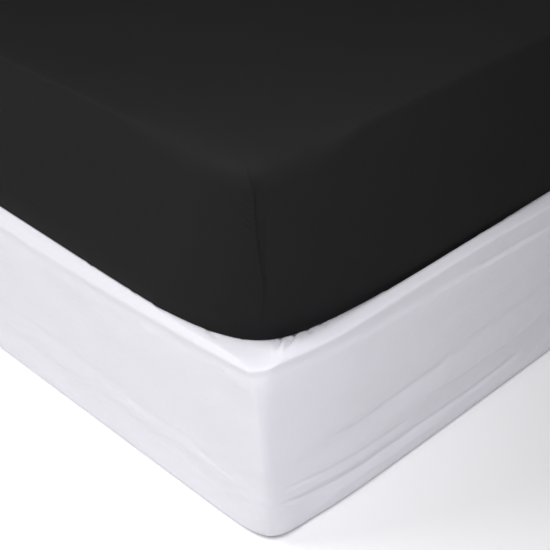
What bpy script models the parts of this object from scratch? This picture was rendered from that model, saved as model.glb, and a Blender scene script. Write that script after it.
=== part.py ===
"""A double bed with a black fitted sheet over its deep mattress, on a base in a white fitted cover.

Metres, +Z up. The floor is z = 0, the bed's middle is x = y = 0 and its head is towards +Y. Every piece
is a loft through level sections. A section is a rectangle whose corners are drawn in, and it differs from
its neighbours: the sheet is square-cornered at the top and pulled round at its hem, and the cover's folds
wander up and down.
"""

import bmesh
import bpy
import numpy as np

MM = 0.001

# Sizes of the bed.
MATTRESS_WIDTH = 1.350
MATTRESS_LENGTH = 1.900
BASE_TOP = 0.329  # where the mattress lies on the covered base
SHEET_TOP = 0.653  # the sleeping surface
BASE_OVER_SIDE = 0.001  # how far the covered base reaches past the sheet, at the long sides
BASE_OVER_END = 0.020  # and at the foot and the head

# Cloth and fit.
CLOTH = 0.002
SEAT = 0.0003  # pieces that touch stand this far apart
SHEET_HEM = 0.130  # how far the sheet is tucked under the mattress
COVER_HEM = 0.120  # how far the cover is turned under the base
SEAM_RISE = 0.0015  # the sewn corner of the sheet stands proud by this

SHEET_HALF = np.array([MATTRESS_WIDTH, MATTRESS_LENGTH]) / 2 + CLOTH + SEAT
COVER_HALF = SHEET_HALF + [BASE_OVER_SIDE, BASE_OVER_END]
SHEET_BOTTOM = BASE_TOP + SEAT
LINING = CLOTH + SEAT  # from a cloth's outer face to what it wraps

# Points along a section: from a corner's middle they run out at growing steps, then evenly to the next one.
CORNER_STEPS = 7
FIRST_STEP = 0.006
STEP_GROWTH = 1.6
END_POINTS = 2  # even points along the foot or the head
SIDE_POINTS = 4  # even points along a long side

# Places round the bed where a height is given: whole numbers are the corners, starting with the near one,
# and the foot, the right side, the head and the left side follow each other.
PLACES = (0, 0.07, 0.15, 0.34, 0.51, 1, 1.5, 2, 2.5, 3, 3.5, 3.73, 3.87, 3.93)
# How far the sheet's lower edge rides up at each place, in millimetres.
EDGE_RISE = (0, 0, 0, 1, 3, 0, 3, 0, 3, 0, 8, 3, -2, -1)

# The sheet from the middle of its top outwards, down the side, round its lower edge and under to its hem.
# inset: in from the outer face; height: above the floor; draw, tail: the corner; seam: share of the seam's
# rise; rise: share of the edge's rise.
RIM = 0.030  # radius of the sheet's lower edge
RIM_30, RIM_60 = np.sin(np.radians([30, 60])) * RIM
SHEET_SECTIONS = (
    # name, inset, height, draw, tail, seam, rise
    ("centre panel", 0.200, SHEET_TOP, 0.020, 0.010, 0, 0),
    ("crown", 0.105, SHEET_TOP, 0.020, 0.010, 0, 0),
    ("fall to the edge", 0.045, SHEET_TOP - 0.0012, 0.020, 0.009, 0, 0),
    ("ridge, inner", 0.011, SHEET_TOP - 0.0038, 0.021, 0.008, 0, 0),
    ("ridge", 0.003, SHEET_TOP - 0.0068, 0.022, 0.008, 0.3, 0),
    ("ridge, outer", 0.000, SHEET_TOP - 0.0150, 0.024, 0.008, 1, 0),
    ("upper side", 0.000, 0.543, 0.032, 0.009, 1, 0),
    ("lower side", 0.000, 0.443, 0.042, 0.010, 1, 0),
    ("rim, start", 0.000, SHEET_BOTTOM + RIM, 0.050, 0.010, 0.5, 1),
    ("rim, 30 degrees", RIM - RIM_60, SHEET_BOTTOM + RIM - RIM_30, 0.050, 0.010, 0, 1),
    ("rim, 60 degrees", RIM - RIM_30, SHEET_BOTTOM + RIM - RIM_60, 0.050, 0.010, 0, 0.5),
    ("rim, end", RIM, SHEET_BOTTOM, 0.050, 0.010, 0, 0),
    ("hem", SHEET_HEM, SHEET_BOTTOM, 0.050, 0.010, 0, 0),
)
SIDE_TAIL = 2.0  # a corner is drawn in less far along a long side: its tail there is this many times longer

# The mattress clears the sheet by the seat on its faces and by 2 mm or more at its edges.
MATTRESS_SECTIONS = (
    # name, inset, height, draw, tail, seam, rise
    ("top", 0.107, SHEET_TOP - LINING, 0.024, 0.010, 0, 0),
    ("fall to the edge", 0.047, SHEET_TOP - 0.0012 - LINING, 0.026, 0.010, 0, 0),
    ("ridge, inner", 0.018, SHEET_TOP - 0.0050 - LINING, 0.028, 0.010, 0, 0),
    ("ridge, outer", LINING, SHEET_TOP - 0.0260, 0.034, 0.010, 0, 0),
    ("upper side", LINING, 0.543, 0.038, 0.010, 0, 0),
    ("lower side", LINING, 0.443, 0.048, 0.011, 0, 0),
    ("rim, start", LINING, SHEET_BOTTOM + 0.036, 0.056, 0.011, 0, 1),
    ("rim, middle", 0.0145, SHEET_BOTTOM + 0.0125, 0.056, 0.011, 0, 1),
    ("bottom", 0.040, SHEET_BOTTOM + LINING, 0.056, 0.011, 0, 0),
)

# How slack the cover hangs at each place: its folds are that share of their depth.
SLACK = (0.2, 0.6, 1.0, 1.0, 0.9, 0.3, 0.8, 0.3, 0.9, 0.3, 0.7, 0.9, 0.8, 0.5)
SWELL_REACH = 0.20  # the lip swells up where the mattress's corner leaves it bare, this far along each side

# The cover's cradle, in from the sheet's outer face: its padded top gives under the mattress's lower edge.
CRADLE_SECTIONS = (
    # name, inset, rise above the base's top, gap left below the cloth
    ("under the mattress", 0.032, 0.0, SEAT),
    ("cradle", 0.020, 0.0012, 0.0010),
    ("cradle's lip", 0.013, 0.0040, 0.0015),
)

# The cover's lip and face in millimetres, from the rolled top edge down to the floor.
# side, end: in from the outer face where the cover is taut, at the long sides and at the foot and head;
# fold: further in where it is slack; draw: of the corner; swell: higher at a corner; heights: at PLACES.
FACE_SECTIONS = (
    # name, side, end, fold, draw, swell, heights
    ("crest", 9, 14, 0, 12, 11, (340, 345, 339, 340, 340, 340, 338, 340, 340, 340, 338, 338, 338, 339)),
    ("shoulder", 3, 4, 1, 10, 12, (333, 341, 334, 334, 333, 333, 332, 333, 333, 333, 331, 331, 332, 334)),
    ("lip", 0, 0, 0, 10, 14, (325, 337, 330, 324, 321, 320, 318, 320, 321, 320, 317, 317, 318, 322)),
    ("groove", 1, 1, 5, 10, 16, (316, 332, 325, 313, 308, 308, 303, 308, 309, 308, 303, 302, 304, 311)),
    ("below it", 0, 0, 1, 10, 10, (307, 318, 312, 300, 294, 293, 289, 293, 294, 293, 288, 288, 290, 297)),
    ("upper face", 0, 0, 0, 10, 0, (231, 229, 227, 233, 237, 233, 218, 225, 229, 223, 213, 211, 217, 223)),
    ("above fold", 0, 0, 1, 11, 0, (159, 163, 160, 181, 184, 175, 151, 159, 171, 161, 147, 145, 138, 131)),
    ("long fold", 0, 0, 5, 11, 0, (139, 147, 142, 162, 166, 156, 133, 141, 153, 143, 129, 129, 119, 110)),
    ("mid swell", 0, 0, -1, 12, 0, (105, 111, 107, 120, 119, 114, 99, 109, 115, 111, 97, 99, 97, 93)),
    ("hem fold", 0, 0, 5, 13, 0, (75, 67, 57, 60, 63, 71, 65, 73, 63, 73, 67, 71, 73, 65)),
    ("low swell", 1, 1, -1, 15, 0, (34, 36, 27, 23, 24, 32, 26, 32, 24, 32, 27, 28, 27, 26)),
    ("roll, upper", 4, 4, 0, 17, 0, (12, 18, 12, 9, 9, 11, 9, 11, 9, 11, 9, 9, 9, 9)),
    ("roll, lower", 10, 10, 0, 19, 0, (2, 6, 3, 2, 2, 2, 2, 2, 2, 2, 2, 2, 2, 2)),
    ("floor", 17, 17, 0, 19, 0, (0, 0, 0, 0, 0, 0, 0, 0, 0, 0, 0, 0, 0, 0)),
)
COVER_TAIL = 0.010
HEM_DRAW = 0.019  # of the corners of the cover's hem, under the base

# The base inside the cover. drop: below the cover's crest; the plain side clears the deepest fold.
BASE_SIDE_INSET = 0.0105
BASE_SECTIONS = (
    # name, inset, drop below the crest
    ("padded edge", 0.016, 0.008),
    ("shoulder", BASE_SIDE_INSET, 0.022),
)
BASE_FOOT_RADIUS = 0.020
BASE_DRAW = 0.016

BLACK_COTTON = ("black cotton", (0.022, 0.022, 0.024), 0.85)
WHITE_COTTON = ("white cotton", (0.80, 0.80, 0.83), 0.80)
TICKING = ("mattress ticking", (0.62, 0.60, 0.56), 0.90)
BOARD = ("base board cloth", (0.30, 0.28, 0.26), 0.90)


def corner_run(draw, tail):
    """How far along a side each point beside a corner lies, and how far in from that side.

    With u and v the distances from the square corner along its two sides, the corner is the hyperbola
    (u + tail)(v + tail) = (draw + tail)^2. It is drawn in by draw at its middle, and soon runs straight.
    """
    steps = np.arange(CORNER_STEPS + 1)
    along = draw + FIRST_STEP * (STEP_GROWTH**steps - 1) / (STEP_GROWTH - 1)
    inset = (draw + tail) ** 2 / (along + tail) - tail
    return along, np.maximum(inset, 0)


def side_run(length, even_points, draw, tail):
    """The points of one side from its corner's middle to just before the next one, as (along, in)."""
    along, inset = corner_run(draw, tail)
    even = np.linspace(along[-1], length - along[-1], even_points + 2)[1:-1]
    places = np.concatenate([along, even, (length - along)[:0:-1]])
    insets = np.concatenate([inset, np.zeros(even_points), inset[:0:-1]])
    return places, insets


def outline(half, draw, tail):
    """A section's points in the plan, counterclockwise from the near corner.

    It also gives each point's place round the bed and its distance along its side from the nearer corner.
    """
    width, length = 2 * half
    end = (width, END_POINTS, draw, tail)
    side = (length, SIDE_POINTS, draw, tail * SIDE_TAIL)
    sides = (
        # start, along, inwards, run
        ((-1, -1), (1, 0), (0, 1), end),
        ((1, -1), (0, 1), (-1, 0), side),
        ((1, 1), (-1, 0), (0, -1), end),
        ((-1, 1), (0, -1), (1, 0), side),
    )
    points, places, from_corner = [], [], []
    for number, (start, forward, inwards, run) in enumerate(sides):
        side_length = run[0]
        along, inset = side_run(*run)
        points.append(start * half + np.outer(along, forward) + np.outer(inset, inwards))
        places.append(number + along / side_length)
        from_corner.append(np.minimum(along, side_length - along))
    return np.concatenate(points), np.concatenate(places), np.concatenate(from_corner)


def round_the_bed(values, places):
    """The values given at PLACES, read between them at other places round the bed."""
    return np.interp(places, (*PLACES, 4), (*values, values[0]))


def section(half, insets, draw, tail, heights, fold=0, swell=0):
    """One section's points.

    insets is how far in it lies at the long sides and at the ends, or one number for both. heights is one
    number, or one for each of PLACES. fold is how far further in it lies where the cover is slack, and swell
    is how much higher it is at a corner, fading as a parabola over the reach.
    """
    plan, places, from_corner = outline(half, draw, tail)
    further = fold * round_the_bed(SLACK, places)
    plan *= 1 - (np.broadcast_to(insets, 2) + further[:, None]) / half
    fade = np.maximum(1 - from_corner / SWELL_REACH, 0) ** 2
    levels = round_the_bed(np.broadcast_to(heights, len(PLACES)), places) + swell * fade
    return np.column_stack([plan, levels])


def corner_middles():
    """The index of each corner's middle point in a section."""
    end_count = 2 * CORNER_STEPS + 1 + END_POINTS
    side_count = 2 * CORNER_STEPS + 1 + SIDE_POINTS
    return np.cumsum([0, end_count, side_count, end_count])


def plain_sections(table, half):
    """The sections of the sheet or the mattress. The corner's middle is moved out by the seam's rise."""
    sections = []
    for _, inset, height, draw, tail, seam, rise in table:
        points = section(half, inset, draw, tail, height + rise * np.array(EDGE_RISE) * MM)
        middles = corner_middles()
        points[middles, :2] += np.sign(points[middles, :2]) * SEAM_RISE * seam
        sections.append(points)
    return sections


def cradle_sections(inside):
    """The covered top's sections that follow the sheet's lower edge, of the cover or the base inside."""
    draw, tail = SHEET_SECTIONS[-1][3:5]
    return [
        section(SHEET_HALF, inset, draw, tail, BASE_TOP + rise - inside * (CLOTH + gap))
        for _, inset, rise, gap in CRADLE_SECTIONS
    ]


def face_section(row):
    """The section of one row of the cover's lip and face, in metres."""
    _, side, end, fold, draw, swell, heights = row
    insets = np.array([side, end]) * MM
    heights = np.array(heights) * MM
    return section(COVER_HALF, insets, draw * MM, COVER_TAIL, heights, fold * MM, swell * MM)


def edge_section(inset, drop):
    """A section of the base's padded edge, which follows the cover's crest from within."""
    *_, swell, heights = FACE_SECTIONS[0]
    heights = np.array(heights) * MM - drop
    return section(COVER_HALF, inset, BASE_DRAW, COVER_TAIL, heights, swell=swell * MM)


def loft(name, sections, closed_below):
    """An object skinned through sections of like point counts, capped at the first, or at both ends."""
    mesh = bpy.data.meshes.new(name)
    shape = bmesh.new()
    rings = [[shape.verts.new(point) for point in points] for points in sections]
    for inner, outer in zip(rings, rings[1:]):
        for here in range(len(inner)):
            there = (here + 1) % len(inner)
            shape.faces.new((inner[here], outer[here], outer[there], inner[there]))
    shape.faces.new(rings[0])
    if closed_below:
        shape.faces.new(rings[-1][::-1])
    shape.to_mesh(mesh)
    shape.free()
    mesh.shade_smooth()
    return bpy.data.objects.new(name, mesh)


def give_thickness(obj):
    """Make an open surface a cloth, inwards from its outer face."""
    cloth = obj.modifiers.new("Cloth", "SOLIDIFY")
    cloth.thickness = CLOTH
    cloth.offset = -1
    cloth.use_even_offset = True
    cloth.use_rim = True


def finish(obj, collection, parent, look):
    """Put the object in its collection, under its parent, in its material."""
    name, colour, roughness = look
    material = bpy.data.materials.new(name)
    material.use_nodes = True
    shader = material.node_tree.nodes["Principled BSDF"]
    shader.inputs["Base Color"].default_value = (*colour, 1)
    shader.inputs["Roughness"].default_value = roughness
    shader.inputs["Metallic"].default_value = 0
    obj.data.materials.append(material)
    collection.objects.link(obj)
    obj.parent = parent


def make_sheet():
    """The fitted sheet: one cloth over the mattress, sewn at its corners and tucked under."""
    sheet = loft("fitted_sheet", plain_sections(SHEET_SECTIONS, SHEET_HALF), closed_below=False)
    give_thickness(sheet)
    return sheet


def make_mattress():
    """The mattress, in the sheet's own form."""
    return loft("mattress", plain_sections(MATTRESS_SECTIONS, SHEET_HALF), closed_below=True)


def make_cover():
    """The white cover: over the base's padded top, round its rolled edge, down its face and under."""
    faces = [face_section(row) for row in FACE_SECTIONS]
    hem = section(COVER_HALF, COVER_HEM, HEM_DRAW, COVER_TAIL, 0)
    cover = loft("base_cover", [*cradle_sections(inside=False), *faces, hem], closed_below=False)
    give_thickness(cover)
    return cover


def make_base():
    """The bed base, with a padded top edge that fills the cover's lip."""
    edge = [edge_section(inset, drop) for _, inset, drop in BASE_SECTIONS]
    foot_inset = BASE_SIDE_INSET + BASE_FOOT_RADIUS
    side_foot = section(COVER_HALF, BASE_SIDE_INSET, BASE_DRAW, COVER_TAIL, BASE_FOOT_RADIUS)
    bottom = section(COVER_HALF, foot_inset, BASE_DRAW, COVER_TAIL, LINING)
    sections = [*cradle_sections(inside=True), *edge, side_foot, bottom]
    return loft("bed_base", sections, closed_below=True)


def main():
    for old in list(bpy.data.objects):
        bpy.data.objects.remove(old, do_unlink=True)
    bed = bpy.data.collections.new("fitted_sheet_on_bed")
    bpy.context.scene.collection.children.link(bed)
    middle = bpy.data.objects.new("bed_middle", None)
    bed.objects.link(middle)
    finish(make_base(), bed, middle, BOARD)
    finish(make_cover(), bed, middle, WHITE_COTTON)
    finish(make_mattress(), bed, middle, TICKING)
    finish(make_sheet(), bed, middle, BLACK_COTTON)


if __name__ == "__main__":
    main()
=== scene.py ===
"""A double bed's black fitted sheet over a deep mattress, on a base in a white fitted cover.

Metres, +Z up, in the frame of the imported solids: the floor is z = 0, the foot of the bed faces -Y and the
near corner, which the view shows, is at -X, -Y. The sheet and the cover are cloths worked out as surfaces
of two parameters, round the bed and from the middle of its top outwards and down. Folds, seams and creases
move those surfaces along their normals. The mattress and the base are plain bodies just inside those cloths.
"""

import logging
import math
from abc import ABC, abstractmethod
from dataclasses import dataclass
from enum import Enum

import bpy
import numpy as np
from mathutils import Matrix, Vector


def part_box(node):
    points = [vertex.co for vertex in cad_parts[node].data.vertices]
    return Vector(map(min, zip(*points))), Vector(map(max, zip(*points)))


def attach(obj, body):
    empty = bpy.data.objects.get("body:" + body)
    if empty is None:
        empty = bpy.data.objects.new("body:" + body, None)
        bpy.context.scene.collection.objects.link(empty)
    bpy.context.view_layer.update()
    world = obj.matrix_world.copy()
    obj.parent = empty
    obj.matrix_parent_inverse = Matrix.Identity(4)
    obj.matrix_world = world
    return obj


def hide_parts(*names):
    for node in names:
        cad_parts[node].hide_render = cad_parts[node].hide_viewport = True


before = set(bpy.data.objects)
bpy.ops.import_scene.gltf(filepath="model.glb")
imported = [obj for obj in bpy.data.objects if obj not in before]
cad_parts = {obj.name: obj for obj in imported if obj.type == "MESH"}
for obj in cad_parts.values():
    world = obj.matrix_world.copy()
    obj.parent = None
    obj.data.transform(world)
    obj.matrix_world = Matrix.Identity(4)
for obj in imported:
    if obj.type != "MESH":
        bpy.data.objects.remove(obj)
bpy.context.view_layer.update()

Array = np.ndarray
Row = tuple[float, ...]
MM = 0.001
LOG = logging.getLogger("bed")

SHEET_HALF = np.array([0.6773, 0.9523])  # half the fitted sheet's width and length, without its seams
COVER_HALF = np.array([0.6783, 0.9723])  # and half the cover's


# Round the bed -------------------------------------------------------------------------------------------


class Side(Enum):
    """A side of the bed. Side k runs from corner k to corner k + 1, and corner 0 is the near one."""

    FOOT = 0
    RIGHT = 1
    HEAD = 2
    LEFT = 3


NEAR_CORNER = 0
CORNERS = np.array([(-1, -1), (1, -1), (1, 1), (-1, 1)], float)
AHEAD = np.array([(1, 0), (0, 1), (-1, 0), (0, -1)], float)  # along the side that leaves each corner
INWARDS = np.array([(0, 1), (-1, 0), (0, -1), (1, 0)], float)  # in from that side

# Places round the bed where a height or a slackness is given: side k runs from k to k + 1.
PLACES = (0, 0.026, 0.07, 0.15, 0.34, 0.51, 1, 1.5, 2, 2.5, 3, 3.5, 3.73, 3.87, 3.93, 3.98)

SPACING_SAMPLES = 2000
SLIDE_FADE = 0.070  # columns are slid along with a slanting seam up to this far from the corner's middle
SOFTNESS = 1.0 * MM  # how softly a drawn-in corner meets the side
LEAST_LENGTH = 1e-12  # of a normal, before it is made one long


def smooth_through(at: Array, stations: Row | Array, values: Row | Array) -> Array:
    """Read a smooth curve through given values, which never overshoots between them.

    Each interval is a cubic from its end values and end slopes. A slope is the weighted harmonic mean of the
    two chords beside it where both rise or both fall, and nought where they don't.

    Args:
        at: Where the curve is read, one number each.
        stations: Where its values are given, rising.
        values: The values there, along the first axis.

    Returns:
        The curve's values, along the first axis as ``at``.
    """
    stations, values = np.asarray(stations, float), np.asarray(values, float)
    shape = (-1,) + (1,) * (values.ndim - 1)
    gap = np.diff(stations).reshape(shape)
    chord = np.diff(values, axis=0) / gap
    before, after = chord[:-1], chord[1:]
    heavy, light = 2 * gap[1:] + gap[:-1], gap[1:] + 2 * gap[:-1]
    agree = before * after > 0
    safe = [np.where(agree, part, 1) for part in (before, after)]
    mean = np.where(agree, (heavy + light) / (heavy / safe[0] + light / safe[1]), 0)
    slope = np.concatenate([chord[:1], mean, chord[-1:]])
    place = np.clip(np.searchsorted(stations, at, "right") - 1, 0, len(gap) - 1)
    share = np.clip((at - stations[place]) / gap.ravel()[place], 0, 1).reshape(shape)
    rest = 1 - share
    ends = rest**2 * (1 + 2 * share) * values[place] + share**2 * (3 - 2 * share) * values[place + 1]
    bends = share * rest * (rest * slope[place] - share * slope[place + 1])
    return ends + bends * gap[place]


def round_the_bed(at: Array, values: Array) -> Array:
    """Read values given at PLACES smoothly round the whole bed.

    Args:
        at: Places from 0 to 4.
        values: The values, one for each of PLACES along the last axis.

    Returns:
        The values at those places, along the last axis.
    """
    places = np.array(PLACES)
    wrapped = np.concatenate([places[-2:] - 4, places, places[:2] + 4])
    values = np.moveaxis(np.asarray(values, float), -1, 0)
    values = np.concatenate([values[-2:], values, values[:2]])
    return np.moveaxis(smooth_through(at, wrapped, values), 0, -1)


def read_rows(at: Array, curve: tuple[Row, Row]) -> Array:
    """Read a smooth curve, given as its stations and its values, at every point of a grid."""
    return smooth_through(at.ravel(), *curve).reshape(at.shape)


def column(table: tuple, name: str) -> Array:
    """Read one column of a table whose rows are dataclasses."""
    return np.array([getattr(row, name) for row in table], float)


def ease(share: Array | float) -> Array:
    """Rise from 0 at 0 to 1 at 1 with level ends, and stay there."""
    share = np.clip(share, 0, 1)
    return share**2 * (3 - 2 * share)


def bell(distance: Array, width: float | Array) -> Array:
    """Give a soft bump: one at no distance, fading as a Gaussian of that width."""
    return np.exp(-((distance / width) ** 2))


@dataclass(frozen=True)
class Spacing:
    """How far apart columns stand: distances from a corner's middle with the spacing there, in mm."""

    steps: tuple[tuple[float, float], ...]

    def reaches(self, half_side: float) -> Array:
        """Place columns from the corner's middle to the side's middle.

        A place's number is the integral of one over the spacing, and columns stand at its even fractions.

        Args:
            half_side: The distance to the side's middle.

        Returns:
            The columns' distances from the corner's middle, both ends included.
        """
        at = np.linspace(0, half_side, SPACING_SAMPLES)
        density = 1 / np.interp(at, *(np.array(self.steps) * MM).T)
        number = np.concatenate([[0], np.cumsum((density[1:] + density[:-1]) / 2 * np.diff(at))])
        return np.interp(np.linspace(0, number[-1], math.ceil(number[-1]) + 1), number, at)


@dataclass(frozen=True)
class Columns:
    """The columns of a cloth's grid, counterclockwise from the near corner's middle.

    Attributes:
        half: Half the bed's width and length.
        corner: Each column's nearest corner.
        reach: How far it lies from that corner's middle, above nought ahead of it and below nought behind.
        place: Its place round the bed, from 0 to 4.
        way: The distance walked round the bed.
    """

    half: Array
    corner: Array
    reach: Array
    place: Array
    way: Array

    @classmethod
    def spread(cls, half: Array, near: Spacing, far: Spacing) -> "Columns":
        """Lay out the columns, finely about the near corner and more widely about the others.

        Args:
            half: Half the bed's width and length.
            near: The spacing about the near corner.
            far: The spacing about the other corners.

        Returns:
            The columns.
        """
        corners, reaches, places, ways, walked = [], [], [], [], 0.0
        for side in range(4):
            length = 2 * half[side % 2]
            ends = (side, (side + 1) % 4)
            first, second = (near if corner == NEAR_CORNER else far for corner in ends)
            ahead = first.reaches(length / 2)
            behind = second.reaches(length / 2)[-2:0:-1]
            run = np.concatenate([ahead, length - behind])
            corners.append(np.repeat(ends, [len(ahead), len(behind)]))
            reaches.append(np.concatenate([ahead, -behind]))
            places.append(side + run / length)
            ways.append(walked + run)
            walked += length
        return cls(half, *(np.concatenate(part) for part in (corners, reaches, places, ways)))

    @property
    def walk(self) -> float:
        """The whole way round the bed."""
        return float(4 * self.half.sum())

    @property
    def face_side(self) -> Array:
        """The side that the face ahead of each column belongs to."""
        return np.where(self.reach >= 0, self.corner, (self.corner - 1) % 4)

    @property
    def to_corner(self) -> Array:
        """The distance from each column to its nearest corner's middle."""
        return np.abs(self.reach)

    def beside(self, plan: Array) -> Array:
        """Give each point's distance along its side, from the side's end at -X or -Y, in mm."""
        axis = self.face_side % 2
        return (np.where(axis, plan[..., 1], plan[..., 0]) + self.half[axis]) / MM

    def outlines(
        self, draw: Array, end_tail: Array, side_tail: Array, shift: Array | float = 0.0
    ) -> tuple[Array, Array]:
        """Work out level sections in the plan, one for each row, before they are set in.

        With u and v the distances from the square corner along its two sides, a corner is the hyperbola
        (u + tail)(v + tail) = (draw + tail)^2, whose middle is drawn in by draw on both sides. Where it
        would leave the bed, it meets the side softly: v becomes (v + sqrt(v^2 + softness^2)) / 2.

        Args:
            draw: How far the corners are drawn in.
            end_tail: The hyperbola's tail along the foot and the head.
            side_tail: Its tail along the long sides.
            shift: How far the columns near a corner are slid ahead, for each row and column.

        Returns:
            The points, as rows by columns by two, and each point's distance along its side from its corner.
        """
        draw = draw[:, None]
        reach = self.reach + shift * np.maximum(1 - self.to_corner / SLIDE_FADE, 0) ** 2
        ahead = reach >= 0
        long_side = ahead == (self.corner % 2 == 1)
        half_side = np.where(long_side, self.half[1], self.half[0])
        along = draw + np.abs(reach) * (1 - draw / half_side)
        tail = np.where(long_side, side_tail[:, None], end_tail[:, None])
        drawn = (draw + tail) ** 2 / (along + tail) - tail
        drawn = (drawn + np.hypot(drawn, SOFTNESS)) / 2
        first = np.where(ahead, along, drawn)[..., None] * AHEAD[self.corner]
        second = np.where(ahead, drawn, along)[..., None] * INWARDS[self.corner]
        return CORNERS[self.corner] * self.half + first + second, along


def set_in(plan: Array, half: Array, insets: Array) -> Array:
    """Draw a section in towards the bed's middle by an inset at the long sides and one at the ends."""
    return plan * (1 - insets / half)


def rows_between(stations: Array, counts: list[int]) -> Array:
    """Divide each interval between stations evenly.

    Args:
        stations: Where the stations are.
        counts: How many rows each interval gets.

    Returns:
        Where the rows are, the last station included.
    """
    parts = [np.linspace(a, b, n, endpoint=False) for a, b, n in zip(stations, stations[1:], counts)]
    return np.concatenate([*parts, stations[-1:]])


def normals_of(points: Array) -> Array:
    """Work out a grid's outward normals: its step down the rows crossed with its step along the columns.

    Args:
        points: The grid, as rows by columns by three.

    Returns:
        A normal for each point, one long.
    """
    down = np.gradient(points, axis=0)
    ahead = np.roll(points, -1, axis=1) - np.roll(points, 1, axis=1)
    normal = np.cross(down, ahead)
    return normal / np.maximum(np.linalg.norm(normal, axis=2, keepdims=True), LEAST_LENGTH)


# Folds ---------------------------------------------------------------------------------------------------


class Lies(Enum):
    """How a fold lies on a side of the bed."""

    ALONG = "its height is a function of the distance along the side"
    UPRIGHT = "its distance along the side is a function of the height"


@dataclass(frozen=True)
class Fold:
    """A soft trough or ridge on one side of the bed.

    Attributes:
        side: The side it lies on.
        line: Points of its line: the distance along the side from its end at -X or -Y and the height, in mm.
        depth: How far it stands out, or in if below nought, in mm.
        width: Half its width, in mm.
        fade: How far from its ends it fades out, in mm.
        lies: Which coordinate is its own.
    """

    side: Side
    line: tuple[tuple[float, float], ...]
    depth: float
    width: float
    fade: float
    lies: Lies = Lies.ALONG

    def lift(self, beside: Array, height: Array, on_side: Array) -> Array:
        """Work out how far the fold moves each point out.

        The distance from the fold's line, measured across its own coordinate, goes through a bell, and the
        ends are eased off.

        Args:
            beside: Each point's distance along its side, in mm.
            height: Its height, in mm.
            on_side: Whether it lies on the fold's side.

        Returns:
            The move along the normal, in metres.
        """
        own, other = (beside, height) if self.lies is Lies.ALONG else (height, beside)
        stations = np.array(self.line) if self.lies is Lies.ALONG else np.array(self.line)[:, ::-1]
        stations = stations[np.argsort(stations[:, 0])]
        low, high = stations[0, 0], stations[-1, 0]
        middle = read_rows(own, (stations[:, 0], stations[:, 1]))
        window = ease((own - low) / self.fade) * ease((high - own) / self.fade)
        return on_side * self.depth * MM * bell(other - middle, self.width) * window


def side_folds(folds: tuple[Fold, ...], points: Array, columns: Columns) -> Array:
    """Add up folds over a grid, each on its own side of the bed.

    Args:
        folds: The folds.
        points: The grid.
        columns: Its columns.

    Returns:
        The move along the normal, in metres.
    """
    lift = np.zeros(points.shape[:2])
    beside, height = columns.beside(points), points[..., 2] / MM
    for fold in folds:
        lift += fold.lift(beside, height, columns.face_side == fold.side.value)
    return lift


@dataclass(frozen=True)
class Waves:
    """Uneven low waves: the sum of plane waves with seeded lengths, slants and phases.

    Attributes:
        height: Their root mean square, about, in mm.
        along: The longest of them along the bed.
        across: The longest down the cloth.
        count: How many there are.
        seed: The seed.
    """

    height: float
    along: float
    across: float
    count: int
    seed: int

    SHORTEST = 0.35  # as a share of the longest

    def lift(self, columns: Columns, down: Array) -> Array:
        """Work out the waves' height at each point.

        A wave is the sine of 2 pi (turns * way / walk + down / length + phase), with a whole number of turns
        round the bed so that it closes.

        Args:
            columns: The grid's columns.
            down: Each row's way down the cloth.

        Returns:
            The height, in mm.
        """
        dice = np.random.default_rng(self.seed)
        way, down = np.broadcast_arrays(columns.way, down[:, None])
        turns = columns.walk / (self.along * dice.uniform(self.SHORTEST, 1, self.count))
        turns = np.round(turns) * dice.choice([-1, 1], self.count)
        lengths = self.across * dice.uniform(self.SHORTEST, 1, self.count)
        phases = dice.uniform(0, 1, self.count)
        waves = way[..., None] * turns / columns.walk + down[..., None] / lengths + phases
        return self.height * (np.sin(2 * np.pi * waves).sum(-1) * math.sqrt(2 / self.count))


# Meshes --------------------------------------------------------------------------------------------------

PATTERN_MAP = "OFBake"  # the cloth's flat cutting pattern, as a share of the span
PATTERN_SPAN = 3.0
PATTERN_MIDDLE = 0.5


def flat_pattern(points: Array, edge: int) -> Array:
    """Unfold a cloth flat: the top lies as it is, and each side is turned up about the edge row.

    On a side, a point keeps its distance along the bed, and its distance out from the bed's middle is that
    of the edge plus the way down the cloth from there.

    Args:
        points: The grid.
        edge: The row about which the sides are turned up.

    Returns:
        Pattern coordinates for each of the four sides, as side by row by column by two.
    """
    steps = np.linalg.norm(np.diff(points, axis=0), axis=2)
    way = np.concatenate([np.zeros((1, points.shape[1])), np.cumsum(steps, axis=0)])
    down = np.maximum(way - way[edge], 0)
    hinge = points.copy()
    hinge[edge:] = points[edge]
    along = np.einsum("rcx,kx->krc", points[..., :2], AHEAD)
    out = -np.einsum("rcx,kx->krc", hinge[..., :2], INWARDS) + down
    flat = along[..., None] * AHEAD[:, None, None] - out[..., None] * INWARDS[:, None, None]
    return flat / PATTERN_SPAN + PATTERN_MIDDLE


def grid_faces(rows: int, count: int, closed: bool) -> tuple[Array, list[Array]]:
    """List the faces of a grid that closes round the bed and at a pole in its first ring.

    Args:
        rows: The grid's rows.
        count: Its columns.
        closed: Whether it has a pole in its last ring too.

    Returns:
        The four corners of each cell, and the three of each face at each pole. The poles are numbered after
        the grid.
    """
    here = np.arange(rows * count).reshape(rows, count)
    there = np.roll(here, -1, axis=1)
    cells = np.stack([here[:-1], here[1:], there[1:], there[:-1]], axis=-1).reshape(-1, 4)
    top = np.stack([np.full(count, rows * count), here[0], there[0]], axis=-1)
    foot = np.stack([np.full(count, rows * count + 1), there[-1], here[-1]], axis=-1)
    return cells, [top, foot] if closed else [top]


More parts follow.
